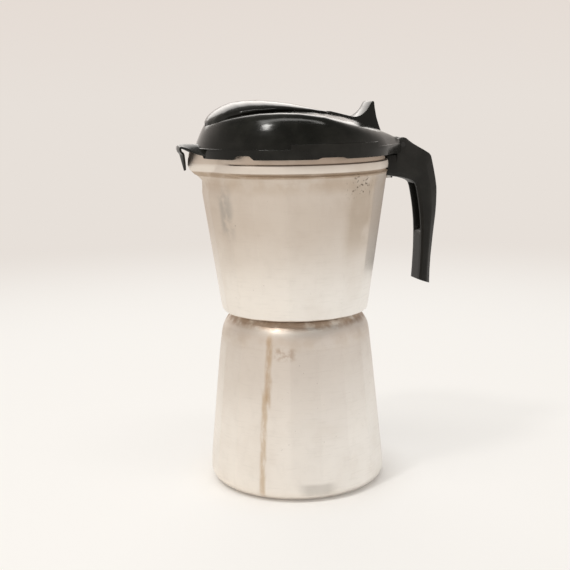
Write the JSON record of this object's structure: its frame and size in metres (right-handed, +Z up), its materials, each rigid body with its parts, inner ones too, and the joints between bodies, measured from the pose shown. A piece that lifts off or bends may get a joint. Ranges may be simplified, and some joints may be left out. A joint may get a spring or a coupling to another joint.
{
  "type": "moka pot",
  "caption": "Stovetop moka pot: faceted aluminium boiler and jug that screw together, with funnel, strainer, safety valve, hinged black lid and black handle.",
  "frame": {"origin": "centre of the boiler's flat base, on the pot's vertical axis", "axes": "+Z up along the pot's axis, +X towards the handle, -X towards the spout"},
  "size_m": [0.1669, 0.1231, 0.2379],
  "materials": {
    "boiler_aluminium": "worn polished cast aluminium with coffee and water stains",
    "jug_aluminium": "worn satin cast aluminium with warm stains",
    "sheet_aluminium": "dull pressed sheet",
    "valve_brass": "turned brass, slightly tarnished",
    "valve_fibre": "red-brown fibre washer",
    "steel": "bright steel",
    "gasket_rubber": "off-white food-safe rubber",
    "handle_plastic": "semi-gloss moulded black plastic",
    "lid_plastic": "glossy moulded black plastic"
  },
  "bodies": {
    "boiler": {"boiler": "boiler_aluminium", "valve_body": "valve_brass", "valve_washer": "valve_fibre", "valve_spring": "steel", "valve_retainer": "steel"},
    "valve_pin": {"valve_pin": "steel"},
    "funnel": {"funnel": "sheet_aluminium", "funnel_screen": "sheet_aluminium"},
    "gasket": {"gasket": "gasket_rubber"},
    "strainer": {"filter_plate": "sheet_aluminium"},
    "jug": {"jug": "jug_aluminium", "column": "jug_aluminium", "handle": "handle_plastic", "handle_screw": "steel", "hinge_pin": "steel"},
    "lid": {"lid_shell": "lid_plastic", "lid_crest": "lid_plastic", "thumb_lever": "lid_plastic", "lever_screws": "steel"}
  },
  "joints": [
    {"name": "valve_pin_slide", "type": "slide", "parent": "boiler", "child": "valve_pin", "axis": [0, 1, 0], "range_m": [0, 0.002], "stiffness_N_per_m": 800, "deforming": ["valve_spring"]},
    {"name": "funnel_lift", "type": "slide", "parent": "boiler", "child": "funnel", "axis": [0, 0, 1], "range_m": [0, 0.12]},
    {"name": "jug_lift_off", "type": "slide", "parent": "boiler", "child": "gasket", "axis": [0, 0, 1], "range_m": [0, 0.24]},
    {"name": "jug_rise", "type": "slide", "parent": "gasket", "child": "strainer", "axis": [0, 0, 1], "range_m": [0, 0.0105]},
    {"name": "jug_turn", "type": "hinge", "parent": "strainer", "child": "jug", "pos_m": [0, 0, 0.11], "axis": [0, 0, 1], "range_deg": [0, 1080]},
    {"name": "lid_hinge", "type": "hinge", "parent": "jug", "child": "lid", "pos_m": [0.0695, 0, 0.209], "axis": [0, 1, 0], "range_deg": [0, 100]}
  ],
  "couplings": [
    {"joint": "funnel_lift", "follows": "jug_lift_off", "ratio": 0.5},
    {"joint": "jug_rise", "follows": "jug_turn", "m_per_rad": 0.000557}
  ]
}
